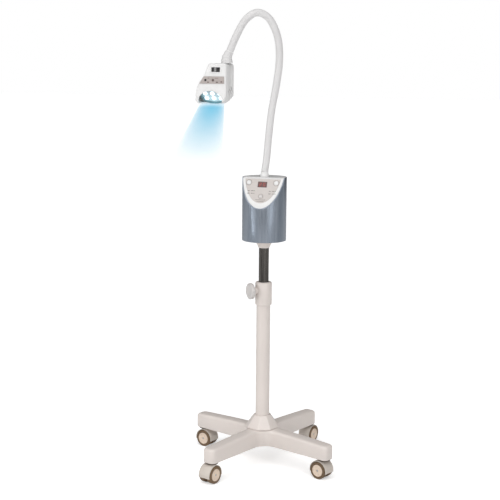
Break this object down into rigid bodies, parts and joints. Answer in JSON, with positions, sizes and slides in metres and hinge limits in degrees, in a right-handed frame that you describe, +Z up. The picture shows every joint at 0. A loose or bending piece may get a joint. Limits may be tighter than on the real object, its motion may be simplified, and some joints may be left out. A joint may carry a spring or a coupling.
{
  "type": "dental curing light",
  "caption": "Mobile dental lamp: lens head on a gooseneck, slant-topped control box, telescopic mast and a cross base on casters.",
  "frame": {"origin": "on the floor, under the mast's axis", "axes": "+Z up the mast; -Y is the side that the control panel faces; the gooseneck bends towards -X"},
  "size_m": [0.4584, 0.4875, 1.3042],
  "materials": {
    "warm_paint": "warm off-white powder coat, slightly glossy",
    "white_plastic": "white moulded plastic with a soft sheen",
    "neck_rubber": "smooth white sleeve over a flexible metal core, matte",
    "dark_tube": "dark gunmetal plated steel tube, glossy",
    "brushed_box": "blue-grey anodised aluminium, brushed upright",
    "panel_grey": "warm grey membrane overlay, satin",
    "caster_tread": "brown tread on cream disc wheels, matte",
    "black_plastic": "black moulded plastic, fine texture",
    "plain_steel": "bright zinc-plated steel",
    "circuit_board": "green solder-resist board",
    "plain_aluminium": "plain machined aluminium",
    "dark_window": "dark red-tinted display window, glossy",
    "blue_lens": "clear lenses lit blue from behind, glossy",
    "nylon": "natural nylon, matte"
  },
  "bodies": {
    "base": {"base_frame": "warm_paint", "hub_cover": "warm_paint", "base_bolt": "plain_steel", "column_plug": "plain_steel", "column_tube": "warm_paint", "mast_bush": "nylon", "clamp_collar": "warm_paint"},
    "knob": {"clamp_knob": "white_plastic"},
    "shoe": {"clamp_shoe": "nylon"},
    "mast": {"mast_tube": "dark_tube", "mast_glide": "nylon", "cone_adapter": "warm_paint", "swivel_ring": "plain_steel"},
    "box": {"box_shell": "brushed_box", "box_bottom_cap": "warm_paint", "top_cap": "white_plastic", "panel_bezel": "white_plastic", "control_panel": "panel_grey", "display_window": "dark_window", "panel_board": "circuit_board", "power_supply": "plain_aluminium", "rear_plate": "black_plastic", "mains_inlet": "black_plastic", "neck_ferrule": "white_plastic", "neck_length_1": "neck_rubber"},
    "panel_button_left": {"button_left": "white_plastic"},
    "panel_button_right": {"button_right": "white_plastic"},
    "panel_button_centre": {"button_centre": "white_plastic"},
    "rocker": {"rocker_switch": "black_plastic"},
    "neck_2": {"neck_length_2": "neck_rubber"},
    "neck_3": {"neck_length_3": "neck_rubber"},
    "neck_4": {"neck_length_4": "neck_rubber"},
    "neck_5": {"neck_length_5": "neck_rubber", "neck_boot": "neck_rubber"},
    "head": {"head_front": "white_plastic", "head_rear": "white_plastic", "head_display": "dark_window", "control_strip": "panel_grey", "lens_array": "blue_lens", "led_board": "circuit_board", "heat_sink": "plain_aluminium"},
    "power_button": {"head_button_power": "black_plastic"},
    "mode_button": {"head_button_mode": "black_plastic"},
    "fan": {"fan_rotor": "black_plastic"},
    "caster_front_right": {"caster_hood_front_right": "warm_paint", "caster_axle_front_right": "plain_steel"},
    "wheel_front_right_left": {"wheel_front_right_left": "caster_tread"},
    "wheel_front_right_right": {"wheel_front_right_right": "caster_tread"},
    "caster_rear_right": {"caster_hood_rear_right": "warm_paint", "caster_axle_rear_right": "plain_steel"},
    "wheel_rear_right_left": {"wheel_rear_right_left": "caster_tread"},
    "wheel_rear_right_right": {"wheel_rear_right_right": "caster_tread"},
    "caster_rear_left": {"caster_hood_rear_left": "warm_paint", "caster_axle_rear_left": "plain_steel"},
    "wheel_rear_left_left": {"wheel_rear_left_left": "caster_tread"},
    "wheel_rear_left_right": {"wheel_rear_left_right": "caster_tread"},
    "caster_front_left": {"caster_hood_front_left": "warm_paint", "caster_axle_front_left": "plain_steel"},
    "wheel_front_left_left": {"wheel_front_left_left": "caster_tread"},
    "wheel_front_left_right": {"wheel_front_left_right": "caster_tread"}
  },
  "joints": [
    {"name": "clamp_turn", "type": "hinge", "parent": "base", "child": "knob", "pos_m": [0, 0, 0.512], "axis": [-0.7716, -0.6361, 0], "range_deg": [0, 360]},
    {"name": "clamp_shoe_slide", "type": "slide", "parent": "base", "child": "shoe", "axis": [-0.7716, -0.6361, 0], "range_m": [0, 0.00125]},
    {"name": "mast_slide", "type": "slide", "parent": "base", "child": "mast", "axis": [0, 0, 1], "range_m": [-0.09, 0.2]},
    {"name": "box_swivel", "type": "hinge", "parent": "mast", "child": "box", "pos_m": [0, 0, 0.6585], "axis": [0, 0, 1], "range_deg": [-170, 170]},
    {"name": "press_left", "type": "slide", "parent": "box", "child": "panel_button_left", "axis": [0, 0.866, -0.5], "range_m": [0, 0.001], "stiffness_N_per_m": 500, "springref_m": -0.0005},
    {"name": "press_right", "type": "slide", "parent": "box", "child": "panel_button_right", "axis": [0, 0.866, -0.5], "range_m": [0, 0.001], "stiffness_N_per_m": 500, "springref_m": -0.0005},
    {"name": "press_centre", "type": "slide", "parent": "box", "child": "panel_button_centre", "axis": [0, 0.866, -0.5], "range_m": [0, 0.001], "stiffness_N_per_m": 500, "springref_m": -0.0005},
    {"name": "rocker_tilt", "type": "hinge", "parent": "box", "child": "rocker", "pos_m": [0, 0.0635, 0.723], "axis": [1, 0, 0], "range_deg": [-8, 8]},
    {"name": "neck_bend_1", "type": "hinge", "parent": "box", "child": "neck_2", "pos_m": [0.00629, 0.00163, 0.90684], "axis": [-0.2504, 0.9681, 0], "range_deg": [-25, 25]},
    {"name": "neck_bend_2", "type": "hinge", "parent": "neck_2", "child": "neck_3", "pos_m": [0.02703, 0.00699, 1.08121], "axis": [-0.953, -0.2465, 0.1764], "range_deg": [-20, 20]},
    {"name": "neck_bend_3", "type": "hinge", "parent": "neck_3", "child": "neck_4", "pos_m": [0.02524, 0.00653, 1.24652], "axis": [-0.2504, 0.9681, 0], "range_deg": [-12, 25]},
    {"name": "neck_bend_4", "type": "hinge", "parent": "neck_4", "child": "neck_5", "pos_m": [-0.04855, -0.01256, 1.28074], "axis": [0.6494, 0.1679, -0.7417], "range_deg": [-20, 20]},
    {"name": "head_swivel", "type": "hinge", "parent": "neck_5", "child": "head", "pos_m": [-0.10456, -0.02704, 1.155], "axis": [0, 0, 1], "range_deg": [-90, 90]},
    {"name": "press_power", "type": "slide", "parent": "head", "child": "power_button", "axis": [0.1822, 0.9833, 0], "range_m": [0, 0.0008], "stiffness_N_per_m": 400, "springref_m": -0.0005},
    {"name": "press_mode", "type": "slide", "parent": "head", "child": "mode_button", "axis": [0.1822, 0.9833, 0], "range_m": [0, 0.0008], "stiffness_N_per_m": 400, "springref_m": -0.0005},
    {"name": "fan_spin", "type": "hinge", "parent": "head", "child": "fan", "pos_m": [-0.13096, -0.00486, 1.105], "axis": [-0.1822, -0.9833, 0], "continuous": true},
    {"name": "caster_swivel_front_right", "type": "hinge", "parent": "base", "child": "caster_front_right", "pos_m": [0.20296, -0.09335, 0.0577], "axis": [0, 0, 1], "continuous": true},
    {"name": "wheel_spin_front_right_left", "type": "hinge", "parent": "caster_front_right", "child": "wheel_front_right_left", "pos_m": [0.19574, -0.08991, 0.02479], "axis": [0.4305, 0.9026, 0], "continuous": true},
    {"name": "wheel_spin_front_right_right", "type": "hinge", "parent": "caster_front_right", "child": "wheel_front_right_right", "pos_m": [0.19574, -0.08991, 0.02479], "axis": [0.4305, 0.9026, 0], "continuous": true},
    {"name": "caster_swivel_rear_right", "type": "hinge", "parent": "base", "child": "caster_rear_right", "pos_m": [0.09335, 0.20296, 0.0577], "axis": [0, 0, 1], "continuous": true},
    {"name": "wheel_spin_rear_right_left", "type": "hinge", "parent": "caster_rear_right", "child": "wheel_rear_right_left", "pos_m": [0.09615, 0.21045, 0.02479], "axis": [0.9367, -0.3502, 0], "continuous": true},
    {"name": "wheel_spin_rear_right_right", "type": "hinge", "parent": "caster_rear_right", "child": "wheel_rear_right_right", "pos_m": [0.09615, 0.21045, 0.02479], "axis": [0.9367, -0.3502, 0], "continuous": true},
    {"name": "caster_swivel_rear_left", "type": "hinge", "parent": "base", "child": "caster_rear_left", "pos_m": [-0.20296, 0.09335, 0.0577], "axis": [0, 0, 1], "continuous": true},
    {"name": "wheel_spin_rear_left_left", "type": "hinge", "parent": "caster_rear_left", "child": "wheel_rear_left_left", "pos_m": [-0.19552, 0.09042, 0.02479], "axis": [-0.3665, -0.9304, 0], "continuous": true},
    {"name": "wheel_spin_rear_left_right", "type": "hinge", "parent": "caster_rear_left", "child": "wheel_rear_left_right", "pos_m": [-0.19552, 0.09042, 0.02479], "axis": [-0.3665, -0.9304, 0], "continuous": true},
    {"name": "caster_swivel_front_left", "type": "hinge", "parent": "base", "child": "caster_front_left", "pos_m": [-0.09335, -0.20296, 0.0577], "axis": [0, 0, 1], "continuous": true},
    {"name": "wheel_spin_front_left_left", "type": "hinge", "parent": "caster_front_left", "child": "wheel_front_left_left", "pos_m": [-0.09641, -0.21035, 0.02479], "axis": [-0.9239, 0.3827, 0], "continuous": true},
    {"name": "wheel_spin_front_left_right", "type": "hinge", "parent": "caster_front_left", "child": "wheel_front_left_right", "pos_m": [-0.09641, -0.21035, 0.02479], "axis": [-0.9239, 0.3827, 0], "continuous": true}
  ],
  "couplings": [
    {"joint": "clamp_shoe_slide", "follows": "clamp_turn", "m_per_rad": 0.00019894}
  ]
}
